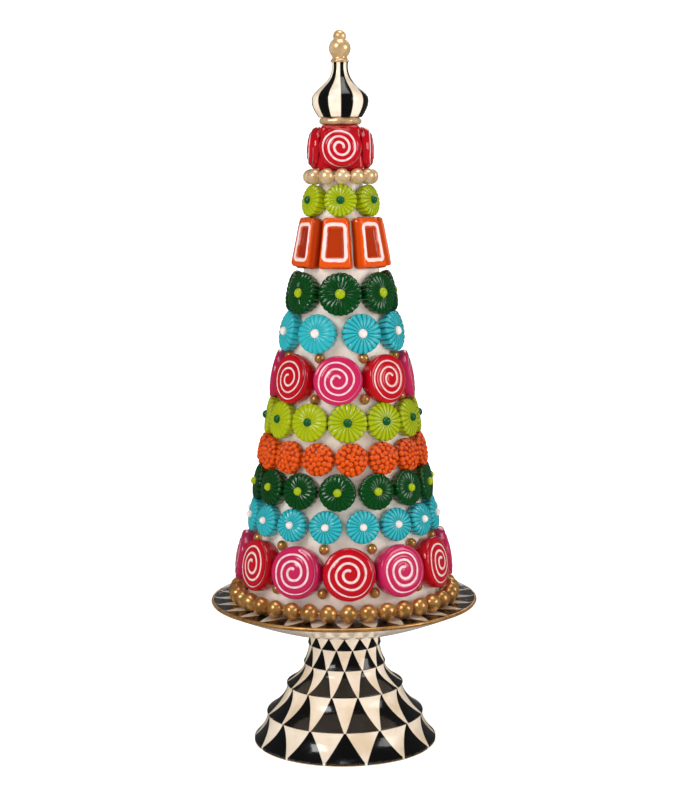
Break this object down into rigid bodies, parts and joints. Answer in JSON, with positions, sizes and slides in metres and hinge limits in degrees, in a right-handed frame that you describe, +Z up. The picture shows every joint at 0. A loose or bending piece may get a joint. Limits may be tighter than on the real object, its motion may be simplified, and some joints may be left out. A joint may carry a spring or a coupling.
{
  "type": "candy tree",
  "caption": "Tall cone covered with rows of glazed sweets and gold beads, under an onion finial, on its own round footed plate.",
  "frame": {"origin": "middle of the foot's flat underside, on the table", "axes": "+Z up along the tree, -Y towards the front, +X to the right seen from the front"},
  "size_m": [0.216, 0.216, 0.5745],
  "materials": {
    "stand_enamel": "glossy ivory enamel with rows of black points and a gilt rim",
    "cone_cream": "satin cream paint over cast resin",
    "glaze_red": "high gloss glaze with white swirl lines",
    "glaze_pink": "high gloss glaze with white swirl lines",
    "glaze_lime": "high gloss glaze",
    "glaze_green": "high gloss glaze",
    "glaze_turquoise": "high gloss glaze",
    "glaze_orange": "high gloss glaze",
    "gilt": "satin gold paint over cast resin",
    "finial_enamel": "glossy ivory and black upright stripes"
  },
  "bodies": {
    "root": {"stand": "stand_enamel", "cone": "cone_cream", "crown_core": "glaze_red", "base_beads": "gilt", "upper_beads": "gilt", "lime_candy_1": "glaze_lime", "lime_candy_2": "glaze_lime", "lime_candy_3": "glaze_lime", "lime_candy_4": "glaze_lime", "lime_candy_5": "glaze_lime", "lime_candy_6": "glaze_lime", "orange_block_1": "glaze_orange", "orange_block_2": "glaze_orange", "orange_block_3": "glaze_orange", "orange_block_4": "glaze_orange", "orange_block_5": "glaze_orange", "orange_block_6": "glaze_orange", "orange_block_7": "glaze_orange", "green_candy_1": "glaze_green", "green_candy_2": "glaze_green", "green_candy_3": "glaze_green", "green_candy_4": "glaze_green", "green_candy_5": "glaze_green", "green_candy_6": "glaze_green", "green_candy_7": "glaze_green", "turquoise_candy_1": "glaze_turquoise", "turquoise_candy_2": "glaze_turquoise", "turquoise_candy_3": "glaze_turquoise", "turquoise_candy_4": "glaze_turquoise", "turquoise_candy_5": "glaze_turquoise", "turquoise_candy_6": "glaze_turquoise", "turquoise_candy_7": "glaze_turquoise", "turquoise_candy_8": "glaze_turquoise", "swirl_upper_1": "glaze_pink", "swirl_upper_2": "glaze_red", "swirl_upper_3": "glaze_pink", "swirl_upper_4": "glaze_red", "swirl_upper_5": "glaze_pink", "swirl_upper_6": "glaze_red", "swirl_upper_7": "glaze_pink", "swirl_upper_8": "glaze_red", "swirl_lower_1": "glaze_red", "swirl_lower_2": "glaze_pink", "swirl_lower_3": "glaze_red", "swirl_lower_4": "glaze_pink", "swirl_lower_5": "glaze_red", "swirl_lower_6": "glaze_pink", "swirl_lower_7": "glaze_red", "swirl_lower_8": "glaze_pink", "swirl_lower_9": "glaze_red", "swirl_lower_10": "glaze_pink", "swirl_lower_11": "glaze_red", "swirl_lower_12": "glaze_pink", "crown_swirl_1": "glaze_red", "crown_swirl_2": "glaze_red", "crown_swirl_3": "glaze_red", "crown_swirl_4": "glaze_red", "finial_collar": "gilt", "finial_onion": "finial_enamel", "finial_knob": "gilt"}
  },
  "joints": []
}
